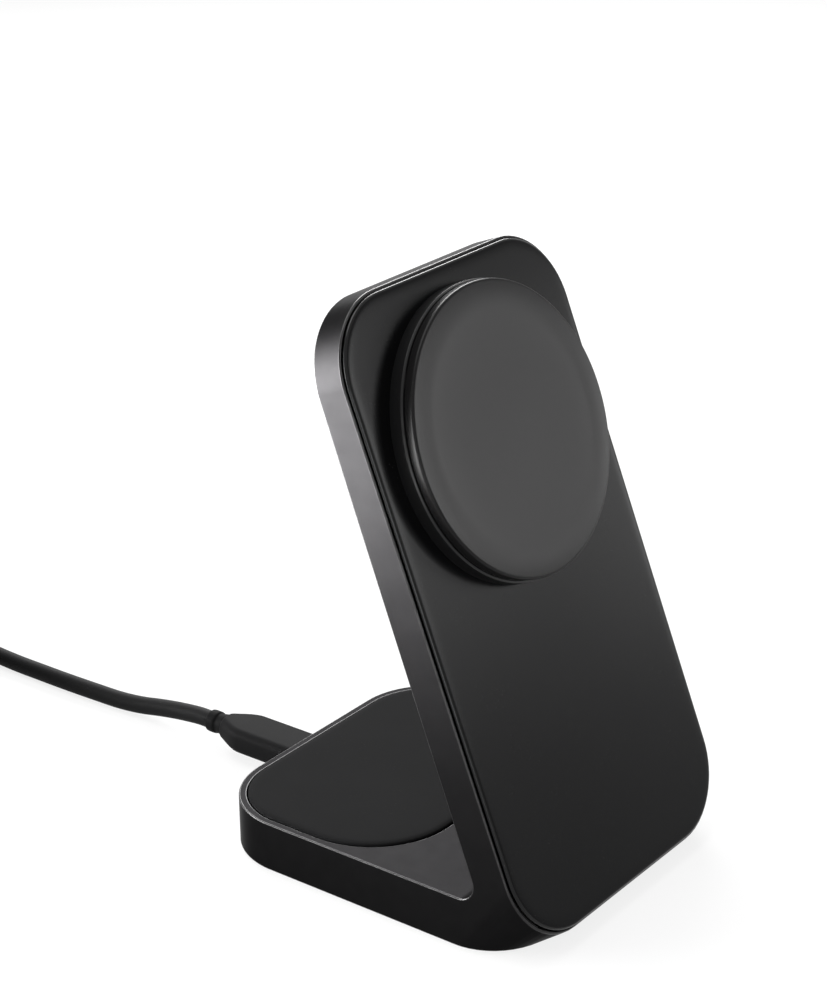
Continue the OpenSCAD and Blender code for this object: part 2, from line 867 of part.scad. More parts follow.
module far_plug_body() {
    color("dimgray") far_plug() plug_body_shape();
}

module far_plug_relief() {
    color("dimgray") far_plug() plug_relief_shape();
}

// Tube with eight flats along a route, whose first and last rings face the given ways
tube_sides = 8;
function ring(c, dir, r) =
    let (t = unit(dir), side = unit(cross(t, [0, 0, 1])), up = cross(side, t))
        [for (k = [0 : tube_sides - 1])
            let (a = 360 * (k + 0.5) / tube_sides)
                c + r / cos(180 / tube_sides) * (cos(a) * side + sin(a) * up)];
function heading(route, i) = route[min(i + 1, len(route) - 1)] - route[max(i - 1, 0)];

module tube(route, first, last) {
    n = len(route);
    rings = [for (i = [0 : n - 1])
        ring(route[i], i == 0 ? first : (i == n - 1 ? last : heading(route, i)), cord_r)];
    polyhedron(
        points = [for (r = rings, p = r) p],
        faces = concat(
            [[for (k = [0 : tube_sides - 1]) k]],
            [for (i = [0 : n - 2], k = [0 : tube_sides - 1])
                let (a = i * tube_sides + k, b = i * tube_sides + (k + 1) % tube_sides)
                    [a, a + tube_sides, b + tube_sides, b]],
            [[for (k = [tube_sides - 1 : -1 : 0]) (n - 1) * tube_sides + k]]
        )
    );
}

// Cord from the plug down to the table and along it to the outer turn of the coil
module cable() {
    meet = sqrt(pow(coil_out_r, 2) - pow(coil_out_r - cord_d, 2));
    start = [0, cord_exit_y, port_z + foot_h];
    finish = [coil_x + coil_rs[2], coil_y - meet, coil_low + cord_r];
    route = [for (p = cord_points) [p[0], cord_exit_y + p[1], p[2]]];
    color("gray") tube(concat([start], route, [finish]), [0, 1, 0], [0, 1, 0]);
}

// Outer shape of the coil's nine turns
module cable_coil() {
    color("gray")
        translate([coil_x, coil_y, coil_low])
            rotate_extrude()
                translate([coil_in_r, 0])
                    square([coil_out_r - coil_in_r, coil_layers * cord_d]);
}

// Strap that holds the coil
module cable_tie() {
    near = coil_in_r - 0.7;
    width = coil_out_r + seat_gap - near;
    height = coil_layers * cord_d;
    color("black")
        translate([coil_x, coil_y, 0])
            rotate([0, 0, strap_angle])
                difference() {
                    translate([near - strap_t, -strap_w / 2, 0])
                        cube([width + 2 * strap_t, strap_w, height + 2 * strap_t]);
                    translate([near, -strap_w, strap_t])
                        cube([width, 2 * strap_w, height]);
                }
}

// End of the cord, which curves in over the coil to the second plug
module cable_tail() {
    mid_r = coil_rs[1];
    start = tail_turn + 180;
    ease = 60;
    outer = [for (a = [start - tail_lead : 20 : start - 1])
        [coil_x + mid_r * cos(a), coil_y + mid_r * sin(a), tail_z]];
    inner = [for (a = [start : 20 : start + 180])
        let (rise = max(0, (a - start - 180 + ease) / ease))
            [tail_centre[0] + tail_r * cos(a), tail_centre[1] + tail_r * sin(a),
                tail_z + (far_z - tail_z) * rise]];
    travel = [-sin(tail_turn), cos(tail_turn), 0];
    first = [-sin(start - tail_lead), cos(start - tail_lead), 0];
    color("gray") tube(concat(outer, inner), first, travel);
}

frame();
panel_gasket();
front_panel();
puck_housing();
puck_screws();
disc_face();
magnet_ring();
phone_coil();
phone_ferrite();
puck_board();
lead_ribbon();
base_pad();
coil_tray();
pad_coil();
pad_ferrite();
main_board();
usb_socket();
socket_tongue();
ballast_plate();
inner_screws();
bottom_cover();
cover_screws();
foot_pad();
plug_shell();
plug_body();
plug_relief();
cable();
cable_coil();
cable_tie();
cable_tail();
far_plug_shell();
far_plug_body();
far_plug_relief();
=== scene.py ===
"""Wireless charging stand: fine shapes, finishes, cord, light and camera.

Lengths inside the shape code are millimetres in the stand's own frame and are turned into
metres when a mesh is made. "On the back" means x across, u up the slope, h out of the front.
"""

import math

import bpy
from mathutils import Matrix, Vector


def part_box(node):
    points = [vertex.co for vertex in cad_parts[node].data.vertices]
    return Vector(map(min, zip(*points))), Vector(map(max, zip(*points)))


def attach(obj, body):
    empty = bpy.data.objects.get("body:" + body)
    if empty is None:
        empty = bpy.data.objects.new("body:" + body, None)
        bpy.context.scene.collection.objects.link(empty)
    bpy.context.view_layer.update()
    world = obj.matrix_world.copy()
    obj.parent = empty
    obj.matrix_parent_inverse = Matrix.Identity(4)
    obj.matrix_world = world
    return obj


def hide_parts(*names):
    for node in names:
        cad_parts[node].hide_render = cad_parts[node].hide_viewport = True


bl_info = {
    "name": "Wireless charging stand",
    "version": (1, 0, 0),
    "blender": (4, 5, 0),
    "location": "View3D > Sidebar > Charging stand",
    "description": "Builds the looks of a folded metal charging stand with its cord",
    "category": "Object",
}

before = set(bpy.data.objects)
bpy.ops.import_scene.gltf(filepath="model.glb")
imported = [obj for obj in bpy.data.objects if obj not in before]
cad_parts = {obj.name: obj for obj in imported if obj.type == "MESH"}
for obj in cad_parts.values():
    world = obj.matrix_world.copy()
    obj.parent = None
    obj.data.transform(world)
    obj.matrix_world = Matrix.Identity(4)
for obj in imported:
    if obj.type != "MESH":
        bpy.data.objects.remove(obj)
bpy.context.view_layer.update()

MM = 0.001

# Folded metal: the back leans from its corner line, and the base runs back from it
LEAN = math.radians(21.7)
MID_Y = 39.9375
FOOT_H = 0.5
FRAME_W = 68.7
BACK_LEN = 126.5
BASE_LEN = 79.0
BASE_T = 10.25
BASE_CORNER = 16.5

# Panel, from the back's lower edge, and the metal's rim beside its pocket
PANEL_START = 3.5
PANEL_CORNER = 14.8
POCKET_INSET = 1.3
DISC_U = 93.5

# Pad on the base, from the fold's corner line
PAD_START = 34.2
PAD_FRONT_CORNER = 17.8
PAD_STANDS = 0.5

# Port, plugs and cord
PORT_Z = 4.2
PLUG_LEN = 24.0
PLUG_HALF_W = 5.1
PLUG_HALF_H = 2.8
PLUG_CORNER = 1.85
RELIEF_LEN = 4.6
CORD_D = 3.8
CORD_EXIT_Y = BASE_LEN + PLUG_LEN + RELIEF_LEN - MID_Y

BACK_ORIGIN = Vector((0.0, -MID_Y, FOOT_H))
BACK_UP = Vector((0.0, math.sin(LEAN), math.cos(LEAN)))
BACK_OUT = Vector((0.0, -math.cos(LEAN), math.sin(LEAN)))


def on_back(x, u, h):
    """Point on the back, in millimetres of the stand's frame."""
    return BACK_ORIGIN + Vector((x, 0.0, 0.0)) + BACK_UP * u + BACK_OUT * h


def on_base(x, y, z):
    """Point on the base: y behind the fold's corner line, z above the metal's underside."""
    return Vector((x, y - MID_Y, z + FOOT_H))


# Sizes and colours that a user would change


def length(name, description, default):
    return bpy.props.FloatProperty(
        name=name, description=description, default=default, min=0.0, unit="LENGTH", precision=5
    )


def colour(name, description, default):
    return bpy.props.FloatVectorProperty(
        name=name, description=description, default=default, size=3, min=0.0, max=1.0,
        subtype="COLOR",
    )


class StandSizes(bpy.types.PropertyGroup):
    """Sizes of the fine shapes."""

    metal_edge: length("Metal edge", "Width of the bright bevel on the metal's edges", 0.00028)
    panel_inset: length("Panel inset", "Metal rim left bare beside the panel", 0.00065)
    disc_radius: length(
        "Disc radius", "Radius of the charging disc",
        (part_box("disc_face")[1].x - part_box("disc_face")[0].x) / 2,
    )
    disc_round: length("Disc edge", "Rounding of the disc's outer edge", 0.0006)
    pad_inset: length("Pad inset", "Metal rim and gap beside the base pad", 0.00185)
    cord_diameter: length("Cord diameter", "Diameter of the cord", CORD_D * MM)


class StandColours(bpy.types.PropertyGroup):
    """Colours of the finishes."""

    metal: colour("Metal", "Anodised metal of the folded frame", (0.0072, 0.0070, 0.0073))
    edge: colour("Metal edge", "Cut bevel on the metal's edges", (0.020, 0.0195, 0.020))
    panel: colour("Panel", "Glossy panel on the back", (0.0022, 0.0022, 0.0024))
    housing: colour("Housing", "Moulded ring behind the disc", (0.006, 0.006, 0.0063))
    disc: colour("Disc", "Soft face of the charging disc", (0.0075, 0.0073, 0.0075))
    pad: colour("Base pad", "Soft pad on the base", (0.0055, 0.0055, 0.0057))
    cord: colour("Cord", "Sheath of the cord", (0.006, 0.006, 0.0062))
    plug: colour("Plug", "Moulded body of the plugs", (0.006, 0.006, 0.0062))
    floor: colour("Floor", "Floor that the stand is on", (0.86, 0.86, 0.86))


def sizes():
    return bpy.context.scene.stand_sizes


def colours():
    return bpy.context.scene.stand_colours


# Effects shared by several finishes


def group_of(name, inputs, outputs):
    """Empty node group with its sockets, and its input and output nodes."""
    tree = bpy.data.node_groups.new(name, "ShaderNodeTree")
    for label, kind, default in inputs:
        socket = tree.interface.new_socket(label, in_out="INPUT", socket_type=kind)
        socket.default_value = default
    for label, kind in outputs:
        tree.interface.new_socket(label, in_out="OUTPUT", socket_type=kind)
    return tree, tree.nodes.new("NodeGroupInput"), tree.nodes.new("NodeGroupOutput")


def add(tree, kind, settings=(), links=(), **values):
    """Node with its settings, socket values and incoming links."""
    node = tree.nodes.new(kind)
    for key, value in dict(settings).items():
        setattr(node, key, value)
    for key, value in values.items():
        node.inputs[int(key[1:])].default_value = value
    for socket, source in dict(links).items():
        tree.links.new(source, node.inputs[socket])
    return node


COLOUR = "NodeSocketColor"
FLOAT = "NodeSocketFloat"


def calc(tree, what, *parts, clamp=False):
    """Math node from numbers and sockets."""
    node = tree.nodes.new("ShaderNodeMath")
    node.operation = what
    node.use_clamp = clamp
    for socket, part in zip(node.inputs, parts):
        if isinstance(part, (int, float)):
            socket.default_value = part
        else:
            tree.links.new(part, socket)
    return node.outputs[0]


def blend_colour(tree, factor, a, b):
    """Mix node between two colours."""
    node = tree.nodes.new("ShaderNodeMix")
    node.data_type = "RGBA"
    for socket, source in ((0, factor), (6, a), (7, b)):
        tree.links.new(source, node.inputs[socket])
    return node.outputs[2]


def fine_grain():
    """Small even grain and a faint broad unevenness, as blasted metal and moulded plastic have."""
    tree, given, out = group_of(
        "fine_grain",
        [
            ("Colour", COLOUR, (0.1, 0.1, 0.1, 1.0)), ("Colour Spread", FLOAT, 0.1),
            ("Roughness", FLOAT, 0.5), ("Roughness Spread", FLOAT, 0.1),
            ("Grains per Metre", FLOAT, 9000.0), ("Patches per Metre", FLOAT, 60.0),
        ],
        [("Colour", COLOUR), ("Roughness", FLOAT), ("Height", FLOAT)],
    )
    place = tree.nodes.new("ShaderNodeTexCoord").outputs["Object"]
    grain = add(
        tree, "ShaderNodeTexNoise", {"noise_dimensions": "3D"},
        {"Vector": place, "Scale": given.outputs["Grains per Metre"]}, _3=2.0, _4=0.55,
    )
    patch = add(
        tree, "ShaderNodeTexNoise", {"noise_dimensions": "3D"},
        {"Vector": place, "Scale": given.outputs["Patches per Metre"]}, _3=3.0, _4=0.6,
    )
    fine = calc(tree, "SUBTRACT", grain.outputs[0], 0.5)
    broad = calc(tree, "SUBTRACT", patch.outputs[0], 0.5)
    both = calc(tree, "MULTIPLY_ADD", broad, 0.8, fine)
    gain = calc(tree, "MULTIPLY_ADD", both, given.outputs["Colour Spread"], 1.0)
    shade = add(
        tree, "ShaderNodeVectorMath", {"operation": "SCALE"},
        {0: given.outputs["Colour"], "Scale": gain},
    )
    rough = calc(
        tree, "MULTIPLY_ADD", both, given.outputs["Roughness Spread"],
        given.outputs["Roughness"], clamp=True,
    )
    tree.links.new(shade.outputs[0], out.inputs["Colour"])
    tree.links.new(rough, out.inputs["Roughness"])
    tree.links.new(grain.outputs[0], out.inputs["Height"])
    return tree


def edge_wear():
    """Slight lightening where an edge is rubbed."""
    tree, given, out = group_of(
        "edge_wear",
        [
            ("Colour", COLOUR, (0.1, 0.1, 0.1, 1.0)), ("Worn Colour", COLOUR, (0.3, 0.3, 0.3, 1.0)),
            ("Amount", FLOAT, 0.5), ("Patches per Metre", FLOAT, 300.0),
        ],
        [("Colour", COLOUR), ("Mask", FLOAT)],
    )
    place = tree.nodes.new("ShaderNodeTexCoord").outputs["Object"]
    sharp = tree.nodes.new("ShaderNodeNewGeometry").outputs["Pointiness"]
    ridge = add(
        tree, "ShaderNodeMapRange", {"clamp": True}, {"Value": sharp}, _1=0.515, _2=0.58,
    )
    rubbed = add(
        tree, "ShaderNodeTexNoise", {},
        {"Vector": place, "Scale": given.outputs["Patches per Metre"]}, _3=3.0,
    )
    broken = calc(tree, "MULTIPLY", ridge.outputs[0], rubbed.outputs[0])
    mask = calc(tree, "MULTIPLY", broken, given.outputs["Amount"], clamp=True)
    mixed = blend_colour(tree, mask, given.outputs["Colour"], given.outputs["Worn Colour"])
    tree.links.new(mixed, out.inputs["Colour"])
    tree.links.new(mask, out.inputs["Mask"])
    return tree


def fine_dust():
    """Few pale specks, mostly on faces that look up."""
    tree, given, out = group_of(
        "fine_dust",
        [
            ("Colour", COLOUR, (0.1, 0.1, 0.1, 1.0)),
            ("Dust Colour", COLOUR, (0.4, 0.38, 0.36, 1.0)), ("Roughness", FLOAT, 0.5),
            ("Amount", FLOAT, 0.2), ("Specks per Metre", FLOAT, 1400.0),
        ],
        [("Colour", COLOUR), ("Roughness", FLOAT)],
    )
    place = tree.nodes.new("ShaderNodeTexCoord").outputs["Object"]
    facing = add(
        tree, "ShaderNodeSeparateXYZ", {},
        {0: tree.nodes.new("ShaderNodeNewGeometry").outputs["Normal"]},
    )
    up = add(
        tree, "ShaderNodeMapRange", {"clamp": True}, {"Value": facing.outputs[2]},
        _1=-0.2, _2=1.0, _3=0.15, _4=1.0,
    )
    specks = add(
        tree, "ShaderNodeTexVoronoi", {"feature": "F1"},
        {"Vector": place, "Scale": given.outputs["Specks per Metre"]},
    )
    near = add(
        tree, "ShaderNodeMapRange", {"clamp": True}, {"Value": specks.outputs["Distance"]},
        _1=0.16, _2=0.06,
    )
    drift = add(
        tree, "ShaderNodeTexNoise", {}, {"Vector": place}, _2=120.0, _3=2.0,
    )
    some = add(
        tree, "ShaderNodeMapRange", {"clamp": True}, {"Value": drift.outputs[0]}, _1=0.5, _2=0.75,
    )
    speck = calc(tree, "MULTIPLY", near.outputs[0], some.outputs[0])
    seen = calc(tree, "MULTIPLY", speck, up.outputs[0])
    mask = calc(tree, "MULTIPLY", seen, given.outputs["Amount"], clamp=True)
    mixed = blend_colour(tree, mask, given.outputs["Colour"], given.outputs["Dust Colour"])
    rough = calc(tree, "MULTIPLY_ADD", mask, 0.5, given.outputs["Roughness"], clamp=True)
    tree.links.new(mixed, out.inputs["Colour"])
    tree.links.new(rough, out.inputs["Roughness"])
    return tree


EFFECTS = {}


def effect(material_tree, name, links=(), **values):
    """Shared effect placed in a material with its own values, given by socket name."""
    if name not in EFFECTS:
        EFFECTS[name] = {"grain": fine_grain, "wear": edge_wear, "dust": fine_dust}[name]()
    node = material_tree.nodes.new("ShaderNodeGroup")
    node.node_tree = EFFECTS[name]
    for key, value in values.items():
        node.inputs[key.replace("_", " ").title().replace("Per", "per")].default_value = value
    for key, source in dict(links).items():
        material_tree.links.new(source, node.inputs[key])
    return node


# Finishes


def rgba(three):
    return (three[0], three[1], three[2], 1.0)


def finish(name, tint, rough, metallic=0.0, spread=0.12, rough_spread=0.1, grains=9000.0,
           patches=60.0, bump=0.1, depth=0.00002, worn=None, wear=0.0, dust=0.0, height=None,
           **plain):
    """Material of a moulded, coated or metal surface: grain, rubbed edges, dust and bump."""
    material = bpy.data.materials.new(name)
    material.use_nodes = True
    tree = material.node_tree
    shader = tree.nodes["Principled BSDF"]
    grain = effect(
        tree, "grain", Colour=rgba(tint), Colour_Spread=spread, Roughness=rough,
        Roughness_Spread=rough_spread, Grains_per_Metre=grains, Patches_per_Metre=patches,
    )
    shade, dull = grain.outputs["Colour"], grain.outputs["Roughness"]
    if wear:
        rubbed = effect(
            tree, "wear", {"Colour": shade}, Worn_Colour=rgba(worn), Amount=wear,
        )
        shade = rubbed.outputs["Colour"]
    if dust:
        dusty = effect(tree, "dust", {"Colour": shade, "Roughness": dull}, Amount=dust)
        shade, dull = dusty.outputs["Colour"], dusty.outputs["Roughness"]
    tree.links.new(shade, shader.inputs["Base Color"])
    tree.links.new(dull, shader.inputs["Roughness"])
    shader.inputs["Metallic"].default_value = metallic
    for key, value in plain.items():
        shader.inputs[key.replace("_", " ").title().replace("Ior", "IOR")].default_value = value
    relief = grain.outputs["Height"]
    if height:
        relief = height(tree, relief)
    bumped = add(
        tree, "ShaderNodeBump", {}, {"Height": relief}, _0=bump, _1=depth,
    )
    tree.links.new(bumped.outputs[0], shader.inputs["Normal"])
    return material


WIRE_PITCH = 0.0008


def wound_height(centre):
    """Height of a flat coil's round turns about a centre, over the grain."""

    def build(tree, relief):
        place = tree.nodes.new("ShaderNodeTexCoord").outputs["Object"]
        away = add(
            tree, "ShaderNodeVectorMath", {"operation": "DISTANCE"}, {0: place},
            _1=tuple(centre),
        )
        turns = calc(tree, "MULTIPLY", away.outputs["Value"], 2 * math.pi / WIRE_PITCH)
        wave = calc(tree, "SINE", turns)
        return calc(tree, "MULTIPLY_ADD", wave, 2.0, relief)

    return build


def hooked_height(tree, relief):
    """Fluffy face of a hook and loop strap."""
    place = tree.nodes.new("ShaderNodeTexCoord").outputs["Object"]
    loops = add(tree, "ShaderNodeTexVoronoi", {"feature": "F1"}, {"Vector": place}, _2=1800.0)
    return calc(tree, "MULTIPLY_ADD", loops.outputs["Distance"], -1.5, relief)


def paint(node, material):
    """Gives a carried-over CAD node its finish."""
    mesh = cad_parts[node].data
    if not mesh.materials:
        mesh.materials.append(material)
    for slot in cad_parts[node].material_slots:
        slot.material = material


# Meshes


def mesh_piece(name, points, faces, material, slot, sharp=38.0):
    """Object from points in millimetres, smooth but for edges sharper than the angle."""
    mesh = bpy.data.meshes.new(name)
    mesh.from_pydata([tuple(p * MM) for p in points], [], faces)
    mesh.validate()
    mesh.shade_smooth()
    mesh.set_sharp_from_angle(angle=math.radians(sharp))
    mesh.materials.append(material)
    piece = bpy.data.objects.new(name, mesh)
    bpy.context.scene.collection.objects.link(piece)
    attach(piece, "root")
    return piece


def loft(rings, closed=False):
    """Points and faces of a skin over rings of equal count, with ends or joined into a ring."""
    count = len(rings[0])
    points = [p for ring in rings for p in ring]
    faces = []
    spans = len(rings) if closed else len(rings) - 1
    for i in range(spans):
        a, b = i * count, ((i + 1) % len(rings)) * count
        faces += [
            (a + k, a + (k + 1) % count, b + (k + 1) % count, b + k) for k in range(count)
        ]
    if not closed:
        faces.append(tuple(range(count - 1, -1, -1)))
        faces.append(tuple(range((len(rings) - 1) * count, len(rings) * count)))
    return points, faces


def rounded_outline(width, y0, y1, r0, r1, inset, steps=16):
    """Points of a rounded rectangle, counter-clockwise, moved in by an inset."""
    corners = [
        (width / 2 - r0, y0 + r0, r0 - inset, -90), (width / 2 - r1, y1 - r1, r1 - inset, 0),
        (r1 - width / 2, y1 - r1, r1 - inset, 90), (r0 - width / 2, y0 + r0, r0 - inset, 180),
    ]
    points = []
    for x, y, r, start in corners:
        for i in range(steps + 1):
            a = math.radians(start + 90 * i / steps)
            points.append((x + r * math.cos(a), y + r * math.sin(a)))
    return points


def softened_plate(place, width, y0, y1, r0, r1, edge):
    """Plate whose edge follows [inset, height] points; place maps (x, y, height)."""
    rings = [
        [place(x, y, h) for x, y in rounded_outline(width, y0, y1, r0, r1, inset)]
        for inset, h in edge
    ]
    return loft(rings)


def turned(place, profile, steps=160):
    """Body of revolution from a closed loop of (radius, height) points."""
    rings = []
    for i in range(steps):
        a = 2 * math.pi * i / steps
        rings.append([place(r * math.cos(a), r * math.sin(a), h) for r, h in profile])
    points, faces = loft(rings, closed=True)
    return points, [f for f in (tuple(dict.fromkeys(f)) for f in faces) if len(f) > 2]


def fillet(before, corner, after, radius, steps=5):
    """Points of a rounded corner between two straight runs of a profile."""
    a = Vector(before) - Vector(corner)
    b = Vector(after) - Vector(corner)
    half = a.angle(b) / 2
    cut = min(radius / math.tan(half), a.length * 0.49, b.length * 0.49)
    start = Vector(corner) + a.normalized() * cut
    end = Vector(corner) + b.normalized() * cut
    out = []
    for i in range(steps + 1):
        t = i / steps
        p = start * (1 - t) ** 2 + Vector(corner) * 2 * t * (1 - t) + end * t ** 2
        out.append((p.x, p.y))
    return out


def softened(profile, rounds):
    """Profile with the corners in rounds {index: radius} filleted."""
    out = []
    for i, point in enumerate(profile):
        if i in rounds:
            out += fillet(
                profile[i - 1], point, profile[(i + 1) % len(profile)], rounds[i]
            )
        else:
            out.append(point)
    return out


# Cord

# Across, behind the strain relief, above the table
CORD_POINTS = [
    (0, 3, 4.7), (0, 7, 4.3), (-0.1, 11, 3.8), (-0.3, 15, 3.2), (-0.5, 19, 2.5),
    (-0.8, 23, 2.1), (-1, 27, 1.9), (-1.2, 32, 1.9), (-1.4, 38, 1.9), (-1.5, 44, 1.9),
    (-1.5, 50, 1.9), (-1.5, 56, 1.9), (-1.5, 62, 2.1), (-1.5, 67, 2.4),
]
COIL_CENTRE = Vector((-27.3, CORD_EXIT_Y + 85.5, 0.0))
COIL_RADII = (18.2, 22.0, 25.8)
COIL_LOW = 0.6
STRAP_ANGLE = 170.0
TAIL_RADIUS = 16.0
TAIL_TURN = math.radians(64.0)
TAIL_CENTRE = COIL_CENTRE - (COIL_RADII[1] - TAIL_RADIUS) * Vector(
    (math.cos(TAIL_TURN), math.sin(TAIL_TURN), 0.0)
)
TAIL_Z = COIL_LOW + 3.5 * CORD_D
FAR_Z = COIL_LOW + 3 * CORD_D + PLUG_HALF_H
# Place of each turn in the winding, as column and layer, from the first to the last
TURNS = [(2, 0), (1, 0), (0, 0), (0, 1), (1, 1), (2, 1), (2, 2), (1, 2), (0, 2)]
# Angle at which the winding steps from one turn's place to the next
STEPS_AT = [130, 130, 100, 70, 70, 40, 10, 10]
STEP_ANGLE = 28.0
CLIMB_FROM = 186.0
CLIMB_TO = 244.0


def eased(t):
    t = max(0.0, min(1.0, t))
    return t * t * (3 - 2 * t)


def turn_place(turn):
    column, layer = TURNS[turn]
    return Vector((COIL_RADII[column], COIL_LOW + (layer + 0.5) * CORD_D))


def coil_point(degrees):
    """Centre of the cord in the winding, at an angle counted on from its first turn."""
    turn, angle = divmod(degrees, 360.0)
    turn = int(turn)
    here = turn_place(turn)
    if turn < len(STEPS_AT):
        t = eased((angle - STEPS_AT[turn]) / STEP_ANGLE)
        here = here.lerp(turn_place(turn + 1), t)
    return here, math.radians(angle)


def cord_route():
    """All points of the cord: down to the floor, the winding, and over it to the far plug."""
    route = [Vector((0, CORD_EXIT_Y, PORT_Z + FOOT_H))]
    route += [Vector((x, CORD_EXIT_Y + y, z)) for x, y, z in CORD_POINTS]
    for before in (14.0, 7.0):
        route.append(
            COIL_CENTRE + Vector((COIL_RADII[2], -before, COIL_LOW + CORD_D / 2))
        )
    whole_turns = len(TURNS) - 1
    last = whole_turns * 360 + CLIMB_FROM
    pieces = whole_turns * 24 + 13
    for i in range(pieces + 1):
        where, a = coil_point(last * i / pieces)
        route.append(
            COIL_CENTRE + Vector((where.x * math.cos(a), where.x * math.sin(a), where.y))
        )
    top_r, top_z = COIL_RADII[1], COIL_LOW + 2.5 * CORD_D
    climb = 6
    for i in range(1, climb + 1):
        t = i / climb
        a = math.radians(CLIMB_FROM + (CLIMB_TO - CLIMB_FROM) * t)
        lift = math.pi / 2 * eased(t)
        r = top_r - CORD_D * math.cos(lift)
        z = top_z + CORD_D * math.sin(lift)
        route.append(COIL_CENTRE + Vector((r * math.cos(a), r * math.sin(a), z)))
    start = math.degrees(TAIL_TURN) + 180
    for degrees in range(15, 181, 15):
        a = math.radians(start + degrees)
        rise = max(0.0, (degrees - 120) / 60)
        route.append(
            TAIL_CENTRE + Vector((
                TAIL_RADIUS * math.cos(a), TAIL_RADIUS * math.sin(a),
                TAIL_Z + (FAR_Z - TAIL_Z) * eased(rise),
            ))
        )
    return route


def near_plug(x, y, z):
    """Point on the plug in the port: y behind its mouth."""
    return on_base(x, BASE_LEN + y, PORT_Z + z)


def far_plug(x, y, z):
    """Point on the free plug, which lies across the coil: y behind its mouth."""
    travel = Vector((-math.sin(TAIL_TURN), math.cos(TAIL_TURN), 0.0))
    side = Vector((math.cos(TAIL_TURN), math.sin(TAIL_TURN), 0.0))
    foot = TAIL_CENTRE + TAIL_RADIUS * side
    at = foot + (PLUG_LEN + RELIEF_LEN) * travel
    return Vector((at.x, at.y, FAR_Z + z)) - side * x - travel * y


def flat_ring(place, y, half_w, half_h, radius, steps=8):
    """Ring of a plug's section: a flat rectangle with round corners."""
    ring = []
    for x_side, z_side, start in ((1, -1, -90), (1, 1, 0), (-1, 1, 90), (-1, -1, 180)):
        for i in range(steps + 1):
            a = math.radians(start + 90 * i / steps)
            ring.append(place(
                x_side * (half_w - radius) + radius * math.cos(a), y,
                z_side * (half_h - radius) + radius * math.sin(a),
            ))
    return ring


def plug_pieces(label, place, plastic, metal):
    """Moulded body, stepped strain relief and metal shell of one plug."""
    # Place behind the mouth, then half width, half height and corner radius of the body
    body_rings = [(0.0, 4.86, 2.56, 1.6), (0.1, 5.0, 2.7, 1.75)]
    body_rings += [
        (y, PLUG_HALF_W, PLUG_HALF_H, PLUG_CORNER) for y in (0.35, 3.0, 8.0, 13.0, 17.2)
    ]
    body_rings += [
        (17.9, 5.06, 2.8, 1.85), (18.8, 4.9, 2.79, 1.87), (20.0, 4.5, 2.75, 1.92),
        (21.4, 3.9, 2.7, 2.0), (22.6, 3.36, 2.62, 2.1), (23.5, 3.02, 2.56, 2.2),
        (23.9, 2.86, 2.5, 2.25), (PLUG_LEN, 2.6, 2.35, 2.2),
    ]
    rings = [flat_ring(place, *ring) for ring in body_rings]
    body = mesh_piece(label + "_body", *loft(rings), plastic, "plug_plastic", sharp=50)
    # Radius and place behind the mouth: a waist, then the collar around the cord
    end = PLUG_LEN + RELIEF_LEN
    profile = [
        (0, 23.6), (2.36, 23.6), (2.4, 24.1), (2.34, 24.6), (2.2, 25.4), (2.12, 25.9),
        (2.12, 26.1), (2.22, 26.25), (2.36, 26.38), (2.4, 26.7), (2.4, 28.0), (2.36, 28.3),
        (2.24, 28.5), (2.0, end), (0, end),
    ]
    rings = []
    for r, y in profile:
        rings.append([
            place(r * math.cos(a), y, r * math.sin(a))
            for a in (2 * math.pi * k / 40 for k in range(40))
        ])
    relief = mesh_piece(label + "_relief", *loft(rings), plastic, "plug_plastic", sharp=50)
    # Place behind the mouth and distance in from the shell's outside, round its lip and back in
    shell_rings = [(0.3, 0.0), (-6.3, 0.0), (-6.55, 0.06), (-6.65, 0.16)]
    shell_rings += [(-6.65, 0.24), (-6.5, 0.3), (-0.6, 0.3)]
    half_w, half_h, corner = 4.125, 1.2, 1.19
    rings = [
        flat_ring(place, y, half_w - drop, half_h - drop, corner - drop)
        for y, drop in shell_rings
    ]
    shell = mesh_piece(label + "_shell", *loft(rings), metal, "plug_metal", sharp=40)
    return body, relief, shell


def smooth_curve(name, route, radius, material):
    """Round cord along a route, one open spline with its own handles."""
    data = bpy.data.curves.new(name, "CURVE")
    data.dimensions = "3D"
    data.resolution_u = 4
    data.bevel_depth = radius * MM
    data.bevel_resolution = 7
    data.use_fill_caps = True
    spline = data.splines.new("BEZIER")
    spline.bezier_points.add(len(route) - 1)
    for i, point in enumerate(spline.bezier_points):
        here = route[i]
        before, after = route[max(i - 1, 0)], route[min(i + 1, len(route) - 1)]
        way = (after - before).normalized()
        if i == 0:
            way = Vector((0, 1, 0))
        point.handle_left_type = point.handle_right_type = "FREE"
        point.co = here * MM
        point.handle_left = (here - way * (here - before).length / 3) * MM
        point.handle_right = (here + way * (after - here).length / 3) * MM
    data.materials.append(material)
    piece = bpy.data.objects.new(name, data)
    bpy.context.scene.collection.objects.link(piece)
    return piece


